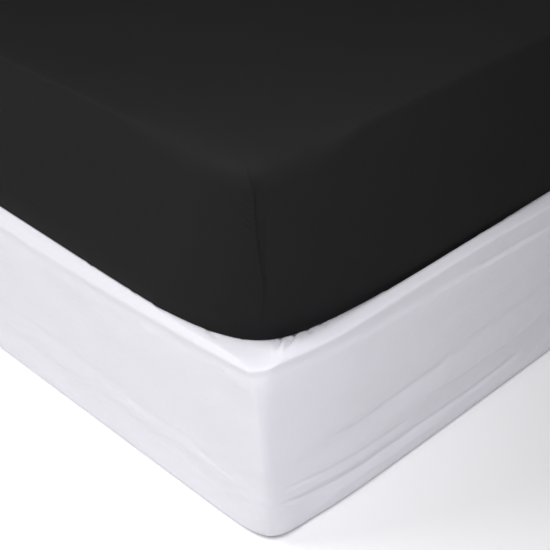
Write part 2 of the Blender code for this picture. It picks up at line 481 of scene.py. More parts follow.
def face_pattern(points: Array, columns: Columns, edge: int) -> tuple[Array, Array]:
    """Give each face its place in the flat pattern, on the side of the bed that it belongs to.

    Args:
        points: The grid.
        columns: Its columns.
        edge: The row about which the sides are turned up.

    Returns:
        Pattern coordinates for the corners of each cell, and for those of each face at a pole.
    """
    rows, count = points.shape[:2]
    flat = flat_pattern(points, edge)
    side = np.broadcast_to(columns.face_side, (rows - 1, count))
    row, here = np.mgrid[: rows - 1, :count]
    there = (here + 1) % count
    corners = [(row, here), (row + 1, here), (row + 1, there), (row, there)]
    cells = np.stack([flat[side, *corner] for corner in corners], axis=2).reshape(-1, 2)
    fan = np.full((count, 3, 2), PATTERN_MIDDLE)
    fan[:, 1] = flat[columns.face_side, 0, here[0]]
    fan[:, 2] = flat[columns.face_side, 0, there[0]]
    return cells, fan.reshape(-1, 2)


def cloth_mesh(
    name: str, points: Array, columns: Columns, edge: int, closed: bool = False
) -> bpy.types.Object:
    """Skin a grid of points, closed round the bed and at a pole in its first ring.

    Args:
        name: The object's name.
        points: The grid, as rows by columns by three.
        columns: Its columns.
        edge: The row about which the flat pattern's sides are turned up.
        closed: Whether the last row is closed too, at a pole of its own.

    Returns:
        The object, linked to the scene.
    """
    cells, fans = grid_faces(*points.shape[:2], closed)
    cell_pattern, fan_pattern = face_pattern(points, columns, edge)
    poles = points[[0, -1]].mean(axis=1)
    vertices = np.concatenate([points.reshape(-1, 3), poles[: len(fans)]])
    corners = np.concatenate([cells.ravel(), *(fan.ravel() for fan in fans)])
    sizes = np.repeat([4, 3], [len(cells), sum(len(fan) for fan in fans)])
    pattern = np.concatenate([cell_pattern, *[fan_pattern] * len(fans)])

    mesh = bpy.data.meshes.new(name)
    mesh.vertices.add(len(vertices))
    mesh.vertices.foreach_set("co", vertices.astype(np.float32).ravel())
    mesh.loops.add(len(corners))
    mesh.loops.foreach_set("vertex_index", corners.astype(np.int32))
    mesh.polygons.add(len(sizes))
    mesh.polygons.foreach_set("loop_start", (np.cumsum(sizes) - sizes).astype(np.int32))
    mesh.update(calc_edges=True)
    layer = mesh.uv_layers.new(name=PATTERN_MAP)
    layer.uv.foreach_set("vector", pattern.astype(np.float32).ravel())
    mesh.validate()
    mesh.shade_smooth()
    piece = bpy.data.objects.new(name, mesh)
    bpy.context.scene.collection.objects.link(piece)
    return piece


def give_thickness(piece: bpy.types.Object, thickness: float) -> None:
    """Turn a surface into a cloth, inwards from its outer face.

    Args:
        piece: The surface.
        thickness: The cloth's thickness.
    """
    cloth = piece.modifiers.new("Cloth", "SOLIDIFY")
    cloth.thickness = thickness
    cloth.offset = -1
    cloth.use_rim = True


# Finishes ------------------------------------------------------------------------------------------------

NodeTree = bpy.types.NodeTree
Socket = bpy.types.NodeSocket

# Noise: its scale a metre on each axis, its detail and its roughness.
CLOUD = ((6, 6, 9), 3, 0.5)
CRINKLE = ((55, 55, 95), 4, 0.55)
FLOOR_GRAIN = ((4, 4, 4), 2, 0.5)
SLUB_SCALE = (900, 25)  # across a thread and along it
SLUB_DETAIL, SLUB_ROUGH = 2, 0.6
SLUB_SHARE, CLOUD_SHARE = 0.6, 0.4  # in the change of a cloth's colour


def math_node(tree: NodeTree, operation: str, *values: Socket | float) -> Socket:
    """Add a Math node.

    Args:
        tree: The node tree.
        operation: The node's operation.
        *values: Its inputs, sockets or numbers.

    Returns:
        Its output.
    """
    node = tree.nodes.new("ShaderNodeMath")
    node.operation = operation
    for number, value in enumerate(values):
        if isinstance(value, (int, float)):
            node.inputs[number].default_value = value
        else:
            tree.links.new(value, node.inputs[number])
    return node.outputs[0]


def new_group(
    name: str, inputs: dict[str, str], outputs: dict[str, str]
) -> tuple[NodeTree, Socket, Socket]:
    """Make an empty shader node group.

    Args:
        name: The group's name.
        inputs: Its inputs' names and kinds, such as Vector or Float.
        outputs: Its outputs' names and kinds.

    Returns:
        The group, its inputs' sockets and its outputs' sockets.
    """
    tree = bpy.data.node_groups.new(name, "ShaderNodeTree")
    for direction, sockets in (("INPUT", inputs), ("OUTPUT", outputs)):
        for socket, kind in sockets.items():
            tree.interface.new_socket(socket, in_out=direction, socket_type="NodeSocket" + kind)
    return tree, tree.nodes.new("NodeGroupInput").outputs, tree.nodes.new("NodeGroupOutput").inputs


def stretched_noise(tree: NodeTree, place: Socket, scale: Row, detail: float, rough: float) -> Socket:
    """Read noise that is stretched along an axis.

    Args:
        tree: The node tree.
        place: Where it is read.
        scale: The noise's scale a metre, on each axis.
        detail: Its detail.
        rough: Its roughness.

    Returns:
        Its output.
    """
    stretch = tree.nodes.new("ShaderNodeMapping")
    stretch.inputs["Scale"].default_value = scale
    noise = tree.nodes.new("ShaderNodeTexNoise")
    noise.inputs["Scale"].default_value = 1.0
    noise.inputs["Detail"].default_value = detail
    noise.inputs["Roughness"].default_value = rough
    tree.links.new(place, stretch.inputs["Vector"])
    tree.links.new(stretch.outputs["Vector"], noise.inputs["Vector"])
    return noise.outputs["Fac"]


def make_weave_group() -> NodeTree:
    """Make the plain weave: threads that pass over and under each other, some thicker than others.

    The height is the product of two squared sines, one bump at each crossing, plus the slub. The slub is
    the mean of noise drawn out along the warp and noise drawn out along the weft.

    Returns:
        The node group.
    """
    tree, given, made = new_group(
        "Plain weave", {"Place": "Vector", "Pitch": "Float"}, {"Height": "Float", "Slub": "Float"}
    )
    split = tree.nodes.new("ShaderNodeSeparateXYZ")
    tree.links.new(given["Place"], split.inputs[0])
    bumps = []
    for axis in ("X", "Y"):
        turn = math_node(tree, "DIVIDE", split.outputs[axis], given["Pitch"])
        wave = math_node(tree, "SINE", math_node(tree, "MULTIPLY", turn, math.pi))
        bumps.append(math_node(tree, "MULTIPLY", wave, wave))
    crossing = math_node(tree, "MULTIPLY", *bumps)
    warp = stretched_noise(tree, given["Place"], (*SLUB_SCALE, 1), SLUB_DETAIL, SLUB_ROUGH)
    weft = stretched_noise(tree, given["Place"], (*SLUB_SCALE[::-1], 1), SLUB_DETAIL, SLUB_ROUGH)
    slub = math_node(tree, "MULTIPLY", math_node(tree, "ADD", warp, weft), 0.5)
    tree.links.new(math_node(tree, "ADD", crossing, slub), made["Height"])
    tree.links.new(slub, made["Slub"])
    return tree


def make_handling_group() -> NodeTree:
    """Make the marks of handling: cloudy patches and fine crinkles, drawn out along the bed's sides.

    Returns:
        The node group.
    """
    tree, given, made = new_group(
        "Handling", {"Place": "Vector"}, {"Cloud": "Float", "Crinkle": "Float"}
    )
    for mark, noise in (("Cloud", CLOUD), ("Crinkle", CRINKLE)):
        tree.links.new(stretched_noise(tree, given["Place"], *noise), made[mark])
    return tree


@dataclass(frozen=True)
class ClothFinish:
    """A woven cloth's look.

    Attributes:
        name: The material's name.
        slot: The record's slot it stands for.
        thin: The colour where threads are thin or shaded.
        full: The colour where they are thick.
        rough: The lowest and highest roughness.
        pitch: The distance between threads, in metres.
        weave_height: The height of the weave's bumps, in metres.
        crinkle_height: The height of the crinkles, in metres.
        sheen: The sheen's weight.
        sheen_rough: The sheen's roughness.
        specular: The level of the plain gloss.
    """

    name: str
    slot: str
    thin: Row
    full: Row
    rough: Row
    pitch: float
    weave_height: float
    crinkle_height: float
    sheen: float
    sheen_rough: float
    specular: float

    def material(self, weave: NodeTree, handling: NodeTree) -> bpy.types.Material:
        """Make the material.

        Args:
            weave: The weave's node group.
            handling: The handling's node group.

        Returns:
            The material.
        """
        material = bpy.data.materials.new(self.name)
        material.use_nodes = True
        tree = material.node_tree
        links, shader = tree.links, tree.nodes["Principled BSDF"]
        body = tree.nodes.new("ShaderNodeTexCoord").outputs["Object"]
        pattern = tree.nodes.new("ShaderNodeUVMap")
        pattern.uv_map = PATTERN_MAP
        scale = tree.nodes.new("ShaderNodeMapping")
        scale.inputs["Scale"].default_value = (PATTERN_SPAN,) * 3
        links.new(pattern.outputs["UV"], scale.inputs["Vector"])

        threads = tree.nodes.new("ShaderNodeGroup")
        threads.node_tree = weave
        threads.inputs["Pitch"].default_value = self.pitch
        links.new(scale.outputs["Vector"], threads.inputs["Place"])
        marks = tree.nodes.new("ShaderNodeGroup")
        marks.node_tree = handling
        links.new(body, marks.inputs["Place"])

        shade = math_node(tree, "MULTIPLY", threads.outputs["Slub"], SLUB_SHARE)
        shade = math_node(tree, "MULTIPLY_ADD", marks.outputs["Cloud"], CLOUD_SHARE, shade)
        colour = tree.nodes.new("ShaderNodeMix")
        colour.data_type = "RGBA"
        colour.inputs["A"].default_value = (*self.thin, 1)
        colour.inputs["B"].default_value = (*self.full, 1)
        links.new(shade, colour.inputs["Factor"])
        links.new(colour.outputs["Result"], shader.inputs["Base Color"])

        span = self.rough[1] - self.rough[0]
        rough = math_node(tree, "MULTIPLY_ADD", marks.outputs["Crinkle"], span, self.rough[0])
        links.new(rough, shader.inputs["Roughness"])

        normal = None
        for height, depth in (
            (marks.outputs["Crinkle"], self.crinkle_height),
            (threads.outputs["Height"], self.weave_height),
        ):
            bump = tree.nodes.new("ShaderNodeBump")
            bump.inputs["Distance"].default_value = depth
            links.new(height, bump.inputs["Height"])
            if normal is not None:
                links.new(normal, bump.inputs["Normal"])
            normal = bump.outputs["Normal"]
        links.new(normal, shader.inputs["Normal"])

        shader.inputs["Sheen Weight"].default_value = self.sheen
        shader.inputs["Sheen Roughness"].default_value = self.sheen_rough
        shader.inputs["Specular IOR Level"].default_value = self.specular
        return material


BLACK_COTTON = ClothFinish(
    "Black cotton", "sheet_cloth",
    thin=(0.0141, 0.0141, 0.0145), full=(0.0202, 0.0202, 0.0207), rough=(0.74, 0.90),
    pitch=0.42 * MM, weave_height=0.05 * MM, crinkle_height=0.25 * MM,
    sheen=0.0, sheen_rough=0.45, specular=0.05,
)
WHITE_COTTON = ClothFinish(
    "White cotton", "cover_cloth",
    thin=(0.785, 0.777, 0.825), full=(0.90, 0.891, 0.945), rough=(0.70, 0.86),
    pitch=0.45 * MM, weave_height=0.05 * MM, crinkle_height=0.8 * MM,
    sheen=0.10, sheen_rough=0.50, specular=0.25,
)
TICKING = ClothFinish(
    "Mattress ticking", "mattress_body",
    thin=(0.55, 0.53, 0.49), full=(0.68, 0.66, 0.62), rough=(0.80, 0.92),
    pitch=0.90 * MM, weave_height=0.15 * MM, crinkle_height=0.40 * MM,
    sheen=0.05, sheen_rough=0.50, specular=0.20,
)
BASE_CLOTH = ClothFinish(
    "Base cloth", "base_body",
    thin=(0.22, 0.21, 0.20), full=(0.34, 0.32, 0.30), rough=(0.84, 0.95),
    pitch=1.20 * MM, weave_height=0.20 * MM, crinkle_height=0.30 * MM,
    sheen=0.05, sheen_rough=0.50, specular=0.15,
)


@dataclass(frozen=True)
class FloorFinish:
    """The floor's look.

    Attributes:
        tone: Its colour, the same in red, green and blue.
        glow: How brightly it glows, as a lit studio table does.
        rough: The lowest and highest roughness.
        specular: The level of its gloss.
    """

    tone: float = 0.97
    glow: float = 0.04
    rough: Row = (0.85, 0.95)
    specular: float = 0.1

    def material(self) -> bpy.types.Material:
        """Make the material.

        Returns:
            The material.
        """
        material = bpy.data.materials.new("Pale floor")
        material.use_nodes = True
        tree = material.node_tree
        shader = tree.nodes["Principled BSDF"]
        shader.inputs["Base Color"].default_value = (self.tone,) * 3 + (1,)
        shader.inputs["Emission Color"].default_value = (1, 1, 1, 1)
        shader.inputs["Emission Strength"].default_value = self.glow
        shader.inputs["Specular IOR Level"].default_value = self.specular
        grain = stretched_noise(tree, tree.nodes.new("ShaderNodeTexCoord").outputs["Object"], *FLOOR_GRAIN)
        rough = math_node(tree, "MULTIPLY_ADD", grain, self.rough[1] - self.rough[0], self.rough[0])
        tree.links.new(rough, shader.inputs["Roughness"])
        return material


# What both cloths share ----------------------------------------------------------------------------------


@dataclass(frozen=True, kw_only=True)
class Cloth(ABC):
    """A fitted cloth: a grid of columns round the bed and of rows from the middle of its top to its hem.

    Attributes:
        half: Half its width and length where it is fitted.
        near: The columns' spacing about the near corner.
        far: The columns' spacing about the other corners.
        flat: The cut's width and length.
        flat_area: The cut's area, without its corner squares.
        thickness: The cloth's thickness.
    """

    half: Array
    near: Spacing
    far: Spacing
    flat: Row
    flat_area: float
    thickness: float = 0.8 * MM

    @abstractmethod
    def skin(self, columns: Columns) -> tuple[Array, Array, int]:
        """Work out the cloth as it would lie without seam, fold, crease or slack.

        Args:
            columns: The grid's columns.

        Returns:
            The points, as rows by columns by three, each row's way down the cloth, and the top edge's row.
        """

    @abstractmethod
    def lift(self, points: Array, down: Array, columns: Columns) -> Array:
        """Work out how far seams, folds, creases and slack move the skin along its normals.

        Args:
            points: The skin.
            down: Each row's way down the cloth.
            columns: The grid's columns.

        Returns:
            The move of each point, in metres.
        """

    def make(self, name: str, material: bpy.types.Material) -> bpy.types.Object:
        """Make the cloth: its skin plus its normals times its lift.

        Args:
            name: The piece's name.
            material: Its material.

        Returns:
            The piece.
        """
        columns = Columns.spread(self.half, self.near, self.far)
        points, down, edge = self.skin(columns)
        points = points + normals_of(points) * self.lift(points, down, columns)[..., None]
        piece = cloth_mesh(name, points, columns, edge)
        give_thickness(piece, self.thickness)
        piece.data.materials.append(material)
        return piece


# The sheet -----------------------------------------------------------------------------------------------


@dataclass(frozen=True)
class RimPoint:
    """A point of the sheet's rim under the mattress's edge, in mm.

    Attributes:
        inset: How far in from the sheet's outer face it lies.
        height: Its height over the sheet's underside.
        draw: How far the corners are drawn in.
        share: Its share in the rise of the lower edge.
        rows: The rows to the next.
    """

    inset: float
    height: float
    draw: float
    share: float
    rows: int


RIM = (
    RimPoint(0, 61.7, 46, 0.6, 6),
    RimPoint(1.4, 44, 48, 0.9, 6),
    RimPoint(4.2, 29, 50, 1, 6),
    RimPoint(8.5, 15.5, 50, 1, 5),
    RimPoint(12.5, 5.5, 50, 1, 4),
    RimPoint(17, 2, 50, 0.7, 3),
    RimPoint(28, 0, 50, 0, 3),
    RimPoint(130, 0, 50, 0, 0),
)
RIM_TAIL = (10, 20)  # of the corners, at the ends and at the long sides, in mm

# How far the lower edge rises at PLACES, in mm.
EDGE_RISE = (0, 0.5, 1.8, 2, 3, 5, 0, 3, 0, 3, 0, 11, 4, -0.5, -0.8, -0.1)

# Small gathers of the lower edge, in mm: side, distance along it, rise and half width.
GATHERS = (
    (Side.LEFT, 416, 0.9, 5),
    (Side.LEFT, 406, -1.1, 5),
    (Side.LEFT, 306, 0.8, 5),
    (Side.LEFT, 297, -1.0, 5),
    (Side.LEFT, 250, 0.8, 5),
    (Side.LEFT, 241, -1.2, 5),
    (Side.LEFT, 228, -0.8, 5),
    (Side.FOOT, 272, 0.9, 6),
    (Side.FOOT, 283, -0.8, 6),
    (Side.FOOT, 430, 0.7, 7),
    (Side.FOOT, 441, -0.7, 7),
    (Side.FOOT, 494, -0.9, 6),
    (Side.FOOT, 506, 1.1, 7),
    (Side.FOOT, 566, -0.7, 7),
    (Side.FOOT, 580, 0.7, 8),
    (Side.RIGHT, 420, 0.9, 22),
    (Side.RIGHT, 1180, -1.0, 26),
    (Side.HEAD, 500, 0.9, 22),
    (Side.LEFT, 1240, -1.0, 26),
)


def edge_rise(plan: Array, columns: Columns) -> Array:
    """Work out how the sheet's lower edge rises and falls: its long waves and a bell for each gather.

    Args:
        plan: The points in the plan.
        columns: The grid's columns.

    Returns:
        The rise of each point, in metres.
    """
    beside = columns.beside(plan)
    rise = np.broadcast_to(round_the_bed(columns.place, EDGE_RISE), beside.shape).copy()
    for side, run, height, width in GATHERS:
        rise += (columns.face_side == side.value) * height * bell(beside - run, width)
    return rise * MM


@dataclass(frozen=True)
class CornerSeam:
    """A sewn corner of the sheet: one panel's edge stands proud over a narrow valley beside it.

    Attributes:
        slant: How much of the near corner's slant the seam has.
        strength: How strongly its step, valley and puckers show.
    """

    slant: float
    strength: float


@dataclass(frozen=True)
class Station:
    """A level section of the sheet, in mm.

    Attributes:
        name: What it is.
        inset: How far in from the outer face it lies near a corner, where the top edge is soft.
        drop: How far below the top it lies there.
        crisp_inset: Its inset away from the corners, where the edge is crisp.
        crisp_drop: Its drop there.
        draw: How far the corners are drawn in.
        end_tail: The corners' tail along the foot and the head.
        side_tail: Their tail along the long sides.
        rows: The rows to the next.
        share: Its share in the rise of the lower edge.
    """

    name: str
    inset: float
    drop: float
    crisp_inset: float
    crisp_drop: float
    draw: float
    end_tail: float
    side_tail: float
    rows: int
    share: float = 0


@dataclass(frozen=True, kw_only=True)
class FittedSheet(Cloth):
    """The black fitted sheet, pulled over the mattress, sewn at its corners and tucked under.

    Attributes:
        bottom: The height of the cloth under the mattress.
        top: The height of the sleeping surface.
    """

    bottom: float
    top: float
    near: Spacing = Spacing(((0, 1.0), (25, 1.4), (70, 5), (560, 6.5), (720, 18), (1000, 20)))
    far: Spacing = Spacing(((0, 3), (15, 6), (60, 28), (1000, 56)))
    flat: Row = (2.263, 2.813)
    flat_area: float = 5.54

    STATIONS = (
        Station("inner ring", 560, 0, 560, 0, 20, 10, 20, 3),
        Station("centre panel", 200, 0, 200, 0, 20, 10, 20, 4),
        Station("crown", 105, 0, 105, 0, 20, 10, 20, 5),
        Station("fall", 66, 1.2, 60, 0.9, 20, 10, 20, 5),
        Station("towards the edge", 37, 4.2, 30, 2.4, 20, 9, 18, 5),
        Station("edge, inner", 20, 9.0, 12, 4.5, 20, 8, 16, 5),
        Station("edge", 9, 16.5, 5, 6.0, 22, 8, 16, 5),
        Station("edge, outer", 3, 27, 1.8, 8.8, 24, 8, 16, 5),
        Station("under the edge", 0, 44, 0.4, 15, 26, 8, 16, 22),
        Station("upper side", 0, 110, 0, 110, 32, 9, 18, 12),
        Station("lower side", 0, 210, 0, 210, 42, 10, 20, 4),
    )
    EDGE = 6  # the station at which the cloth turns down
    SOFT = (90, 90, 90, 140)  # how far the soft edge reaches from a corner on each side, in mm
    CRISP = (200, 200, 200, 270)  # and where the crisp one starts

    SEAMS = (CornerSeam(1.0, 1.0), CornerSeam(-0.7, 0.8), CornerSeam(0.6, 0.8), CornerSeam(-0.8, 0.9))

    # The seam's line, up the corner: heights and how far ahead of the corner's middle it lies, in mm.
    SEAM_LINE = (
        (340, 375, 400, 421, 445, 502, 569, 594, 611, 623, 644, 651),
        (1, 2, 3.6, 5, 6.2, 3, 1, 0.8, 1, 0.5, -6, -10),
    )
    SEAM_SHOWN = ((350, 385, 420, 450, 600, 630, 642), (0, 0.3, 0.6, 1, 1, 0.6, 0))  # how much, at heights
    VALLEY_SHOWN = ((430, 470, 520, 600, 630), (0.5, 0.6, 1, 1, 0.5))
    VALLEY_WIDTH = ((380, 440, 480, 530, 585, 615, 640), (3.5, 4, 6, 13, 16, 11, 5))
    PUCKERS_SHOWN = ((535, 550, 595, 615), (0, 1, 1, 0))

    # In mm: the sewn edge stands proud by STEP over a slow rise, and from DROP_START, over DROP_RUN, the
    # cloth drops into a valley, which recovers over a share of its width.
    STEP, STEP_RISE, VALLEY = 1.8, 18, 3.0
    DROP_START, DROP_RUN, RECOVERY = -1.5, 3.2, 0.55

    # Puckers beside the seam: their height, pitch, middle and width in mm, then how they slant and wander.
    PUCKER, PUCKER_PITCH, PUCKER_PLACE, PUCKER_WIDTH = 0.8, 12, -8, 5.5
    PUCKER_SLANT, PUCKER_WANDER, WANDER_PITCH = 0.09, 1.3, 23

    SLACK = (Waves(0.22, 0.60, 0.45, 14, 11), Waves(0.06, 0.12, 0.12, 18, 12))
    TUCK_FADE = 30 * MM  # the slack fades out this far above the underside

    def stations(self) -> tuple[Station, ...]:
        """List the stations from the middle of the top to the hem.

        Returns:
            The named stations and then the rim's points, whose soft and crisp places are the same.
        """
        depth = (self.top - self.bottom) / MM
        places = [(point.inset, depth - point.height) * 2 for point in RIM]
        rim = (
            Station("rim", *place, point.draw, *RIM_TAIL, point.rows, point.share)
            for place, point in zip(places, RIM)
        )
        return (*self.STATIONS, *rim)

    def skin(self, columns: Columns) -> tuple[Array, Array, int]:
        """Work out the sheet without its seams and slack: its stations, skinned smoothly.

        Args:
            columns: The grid's columns.

        Returns:
            The points, each row's way down the cloth and the row at which it turns down.
        """
        stations = self.stations()
        steps = np.hypot(np.diff(column(stations, "inset")), np.diff(column(stations, "drop")))
        way = np.concatenate([[0], np.cumsum(steps)]) * MM
        down = rows_between(way, [station.rows for station in stations[:-1]])
        names = ("inset", "drop", "crisp_inset", "crisp_drop", "draw", "end_tail", "side_tail")
        row = {name: smooth_through(down, way, column(stations, name) * MM) for name in names}
        share = smooth_through(down, way, column(stations, "share"))

        crisp = self.crispness(columns)
        insets = row["inset"][:, None] + crisp * (row["crisp_inset"] - row["inset"])[:, None]
        drops = row["drop"][:, None] + crisp * (row["crisp_drop"] - row["drop"])[:, None]
        height = self.top - drops
        slide = smooth_through(height.mean(axis=1) / MM, *self.SEAM_LINE) * MM
        slants = column(self.SEAMS, "slant")[columns.corner]
        plan, _ = columns.outlines(row["draw"], row["end_tail"], row["side_tail"], slide[:, None] * slants)
        plan = set_in(plan, columns.half, insets[..., None])
        height = height + share[:, None] * edge_rise(plan, columns)
        edge = sum(station.rows for station in stations[: self.EDGE])
        return np.concatenate([plan, height[..., None]], axis=2), down, edge

    def crispness(self, columns: Columns) -> Array:
        """Say how crisp the top edge is, from 0 near a corner to 1 away from it."""
        soft, crisp = (np.array(reach)[columns.face_side] * MM for reach in (self.SOFT, self.CRISP))
        return ease((columns.to_corner - soft) / (crisp - soft))

    def lift(self, points: Array, down: Array, columns: Columns) -> Array:
        """Move the skin by the seams and by long low waves, which fade towards the tucked hem.

        Args:
            points: The skin.
            down: Each row's way down the cloth.
            columns: The grid's columns.

        Returns:
            The move of each point, in metres.
        """
        slack = sum(waves.lift(columns, down) for waves in self.SLACK)
        slack = slack * ease((points[..., 2] - self.bottom) / self.TUCK_FADE) * MM
        return self.seam_lift(points, columns) + slack

    def seam_lift(self, points: Array, columns: Columns) -> Array:
        """Raise the sewn edge of the side panel, sink the valley beside it and pucker the cloth along it.

        Across the seam the lift rises as a slow bell up to the sewn edge, drops steeply to the valley's
        floor and recovers at the valley's width, which narrows down the corner. The puckers are a bell
        beside the edge times a sine of the height.

        Args:
            points: The skin.
            columns: The grid's columns.

        Returns:
            The move of each point, in metres.
        """
        height = points[..., 2] / MM
        across = columns.reach / MM
        shown = read_rows(height, self.SEAM_SHOWN) * column(self.SEAMS, "strength")[columns.corner]
        width = read_rows(height, self.VALLEY_WIDTH)
        fallen = ease((across - self.DROP_START) / self.DROP_RUN)
        proud = self.STEP * bell(np.minimum(across, 0), self.STEP_RISE) * (1 - fallen)
        recovered = ease((width - across) / (self.RECOVERY * width))
        floor = -self.VALLEY * read_rows(height, self.VALLEY_SHOWN) * fallen * recovered
        phase = height / self.PUCKER_PITCH + across * self.PUCKER_SLANT
        wander = self.PUCKER_WANDER * np.sin(height / self.WANDER_PITCH)
        puckers = self.PUCKER * bell(across - self.PUCKER_PLACE, self.PUCKER_WIDTH)
        puckers = puckers * np.sin(2 * np.pi * phase + wander) * read_rows(height, self.PUCKERS_SHOWN)
        return (proud + floor + puckers) * shown * MM

    def build(self, material: bpy.types.Material) -> bpy.types.Object:
        """Make the sheet, hang it under the root body and hide the imported sheet.

        Args:
            material: The sheet's material.

        Returns:
            The finished piece.
        """
        piece = self.make("fitted_sheet_cloth", material)
        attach(piece, "root")
        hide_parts("fitted_sheet")
        return piece


# The base's cover ----------------------------------------------------------------------------------------


@dataclass(frozen=True)
class PullCrease:
    """A sharp crease on the cover's bare lip, pulled out from under a corner of the mattress.

    Attributes:
        start: Its upper end, as distances ahead of and behind the corner, in mm.
        end: Its lower end.
        depth: How far it stands out, or in if below nought, in mm.
        width: Half its width, in mm.
    """

    start: Row
    end: Row
    depth: float
    width: float

    BEGIN, BEGIN_RUN, END_RUN = -0.30, 0.35, 0.5  # where it starts and how it fades, as shares of its length

    def lift(self, ahead: Array, behind: Array) -> Array:
        """Work out the crease's lift: a bell of the distance to its line, eased off at both ends.

        Args:
            ahead: Each point's distance from the corner along the side ahead of it, in mm.
            behind: Its distance along the side behind.

        Returns:
            The move along the normal, in metres.
        """
        start, way = np.array(self.start), np.subtract(self.end, self.start)
        length = math.hypot(*way)
        unit = way / length
        run = (ahead - start[0]) * unit[0] + (behind - start[1]) * unit[1]
        off = (behind - start[1]) * unit[0] - (ahead - start[0]) * unit[1]
        begun = ease((run / length - self.BEGIN) / self.BEGIN_RUN)
        return self.depth * MM * bell(off, self.width) * begun * ease((1 - run / length) / self.END_RUN)


@dataclass(frozen=True)
class CradlePoint:
    """A section of the cover under the mattress, or up against its rim, in mm.

    Attributes:
        name: What it is.
        inset: How far in from the sheet's outer face it lies.
        space: The space left to the sheet.
        share: Its share in the rise of the sheet's lower edge.
        rows: The rows to the next.
    """

    name: str
    inset: float
    space: float
    share: float
    rows: int


@dataclass(frozen=True)
class Level:
    """A section of the cover between the lip's crest and the hem, in mm.

    Attributes:
        name: What it is.
        side: How far in from the outer face it lies at the long sides, where the cover is taut.
        end: How far in at the foot and the head.
        fold: How much further in where the cover is slack.
        draw: How far the corners are drawn in.
        end_tail: The corners' tail along the foot and the head.
        side_tail: Their tail along the long sides.
        rows: The rows to the next.
        heights: Its height at each of PLACES.
    """

    name: str
    side: float
    end: float
    fold: float
    draw: float
    end_tail: float
    side_tail: float
    rows: int
    heights: Row = (0,) * len(PLACES)


